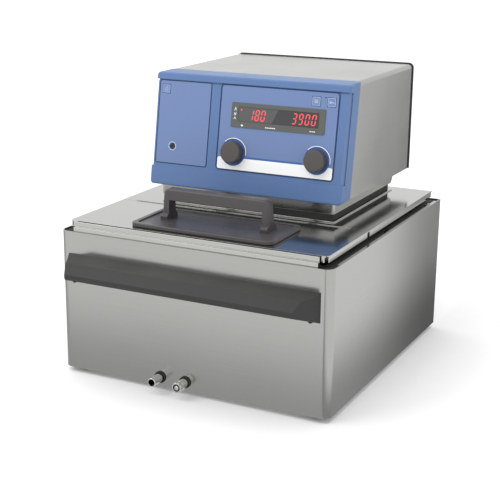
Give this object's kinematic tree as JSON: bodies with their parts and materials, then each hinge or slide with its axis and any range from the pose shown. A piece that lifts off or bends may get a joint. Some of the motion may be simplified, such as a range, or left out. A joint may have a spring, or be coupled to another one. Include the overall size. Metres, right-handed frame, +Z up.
{
  "type": "water bath",
  "caption": "Stainless laboratory water bath with a lidded opening, a drain valve and a heating circulator head with two rotary knobs and a display.",
  "frame": {"origin": "on the table under the middle of the whole machine, feet at Z 0", "axes": "+X to the operator's right, +Y from the front panel to the back, +Z up"},
  "size_m": [0.33, 0.388, 0.3325],
  "materials": {
    "brushed_stainless": "satin brushed stainless sheet",
    "polished_stainless": "fine bright stainless sheet",
    "galvanised_sheet": "dull galvanised sheet",
    "black_rubber": "matt black rubber",
    "zinc_screw": "zinc plated",
    "black_screw": "black oxide",
    "foam": "closed-cell foam",
    "grip_plastic": "fine moulded grain, dark grey",
    "lid_plastic": "fine moulded grain, warm dark grey",
    "knob_plastic": "satin moulded, warm dark grey",
    "black_plastic": "matt moulded black",
    "brass": "machined brass",
    "machined_steel": "turned stainless",
    "blue_plastic": "satin blue coating",
    "light_blue_film": "satin printed film",
    "white_film": "satin white film, blank",
    "display_grey": "satin dark grey",
    "display_filter": "glossy smoked filter",
    "circuit_board": "green solder resist",
    "cast_aluminium": "cast, blasted",
    "float_plastic": "natural white plastic"
  },
  "bodies": {
    "bath": {"casing_wrap": "brushed_stainless", "casing_rear_panel": "brushed_stainless", "base_plate": "galvanised_sheet", "feet": "black_rubber", "foot_screws": "zinc_screw", "inner_tank": "polished_stainless", "front_rim": "polished_stainless", "rim_gasket": "black_rubber", "tank_insulation": "foam", "front_cover": "polished_stainless", "rear_cover": "polished_stainless", "front_grip": "grip_plastic", "grip_screws": "black_screw", "drain_manifold": "brass", "drain_outlet": "polished_stainless", "drain_grommets": "black_rubber", "mounting_plate": "polished_stainless", "neck_seal": "black_rubber", "neck_housing": "brushed_stainless", "pump_outlet_block": "machined_steel", "head_base": "black_plastic", "head_cover": "brushed_stainless", "head_rear_panel": "black_plastic", "rear_panel_screws": "zinc_screw", "bezel": "blue_plastic", "service_panel": "light_blue_film", "keypad_panel": "light_blue_film", "label_strip": "white_film", "display_frame": "display_grey", "display_window": "display_filter", "encoder_housings": "black_plastic", "control_board": "circuit_board", "power_board": "circuit_board", "motor_housing": "cast_aluminium", "pump_bearings": "machined_steel", "pump_housing": "black_plastic", "shaft_tube": "polished_stainless", "heater_loop": "polished_stainless", "sensor_tubes": "polished_stainless", "level_rod": "polished_stainless", "mains_inlet": "black_plastic"},
    "lid": {"lid_plate": "lid_plastic", "lid_handle": "lid_plastic"},
    "valve_stem": {"valve_o_ring": "black_rubber"},
    "valve": {"valve_spindle": "machined_steel", "valve_knob": "machined_steel"},
    "temperature_turn": {"temperature_rotor": "black_plastic"},
    "temperature_push": {"temperature_knob": "knob_plastic", "temperature_shaft": "machined_steel"},
    "speed_turn": {"speed_rotor": "black_plastic"},
    "speed_push": {"speed_knob": "knob_plastic", "speed_shaft": "machined_steel"},
    "power_key": {"power_key": "light_blue_film"},
    "menu_key": {"menu_key": "light_blue_film"},
    "lock_key": {"lock_key": "light_blue_film"},
    "safety_dial": {"safety_dial": "black_plastic"},
    "pump_rotor": {"pump_shaft": "machined_steel", "impeller": "black_plastic", "cooling_fan": "black_plastic"},
    "level_float": {"level_float": "float_plastic"}
  },
  "joints": [
    {"name": "lid_lift", "type": "slide", "parent": "bath", "child": "lid", "axis": [0, 0, 1], "range_m": [0, 0.1]},
    {"name": "valve_travel", "type": "slide", "parent": "bath", "child": "valve_stem", "axis": [0, -1, 0], "range_m": [0, 0.0045]},
    {"name": "valve_turn", "type": "hinge", "parent": "valve_stem", "child": "valve", "pos_m": [-0.0045, -0.17, 0.0158], "axis": [0, -1, 0], "range_deg": [0, 1080]},
    {"name": "temperature_turn", "type": "hinge", "parent": "bath", "child": "temperature_turn", "pos_m": [-0.0148, -0.02872, 0.24761], "axis": [0, -0.9873, 0.1587], "continuous": true},
    {"name": "temperature_push", "type": "slide", "parent": "temperature_turn", "child": "temperature_push", "axis": [0, 0.9873, -0.1587], "range_m": [0, 0.0008], "stiffness_N_per_m": 1500, "springref_m": -0.0005},
    {"name": "speed_turn", "type": "hinge", "parent": "bath", "child": "speed_turn", "pos_m": [0.0882, -0.02872, 0.24761], "axis": [0, -0.9873, 0.1587], "continuous": true},
    {"name": "speed_push", "type": "slide", "parent": "speed_turn", "child": "speed_push", "axis": [0, 0.9873, -0.1587], "range_m": [0, 0.0008], "stiffness_N_per_m": 1500, "springref_m": -0.0005},
    {"name": "power_key", "type": "slide", "parent": "bath", "child": "power_key", "axis": [0, 0.9873, -0.1587], "range_m": [0, 0.0004], "stiffness_N_per_m": 1500, "springref_m": -0.0004},
    {"name": "menu_key", "type": "slide", "parent": "bath", "child": "menu_key", "axis": [0, 0.9873, -0.1587], "range_m": [0, 0.0004], "stiffness_N_per_m": 1500, "springref_m": -0.0004},
    {"name": "lock_key", "type": "slide", "parent": "bath", "child": "lock_key", "axis": [0, 0.9873, -0.1587], "range_m": [0, 0.0004], "stiffness_N_per_m": 1500, "springref_m": -0.0004},
    {"name": "safety_dial", "type": "hinge", "parent": "bath", "child": "safety_dial", "pos_m": [-0.0946, -0.02874, 0.24751], "axis": [0, 0.9873, -0.1587], "range_deg": [0, 270]},
    {"name": "pump_spin", "type": "hinge", "parent": "bath", "child": "pump_rotor", "pos_m": [0, 0.062, 0.1], "axis": [0, 0, 1], "continuous": true},
    {"name": "float_rise", "type": "slide", "parent": "bath", "child": "level_float", "axis": [0, 0, 1], "range_m": [0, 0.012]}
  ],
  "couplings": [
    {"joint": "valve_turn", "follows": "valve_travel", "rad_per_m": 4188.8}
  ]
}
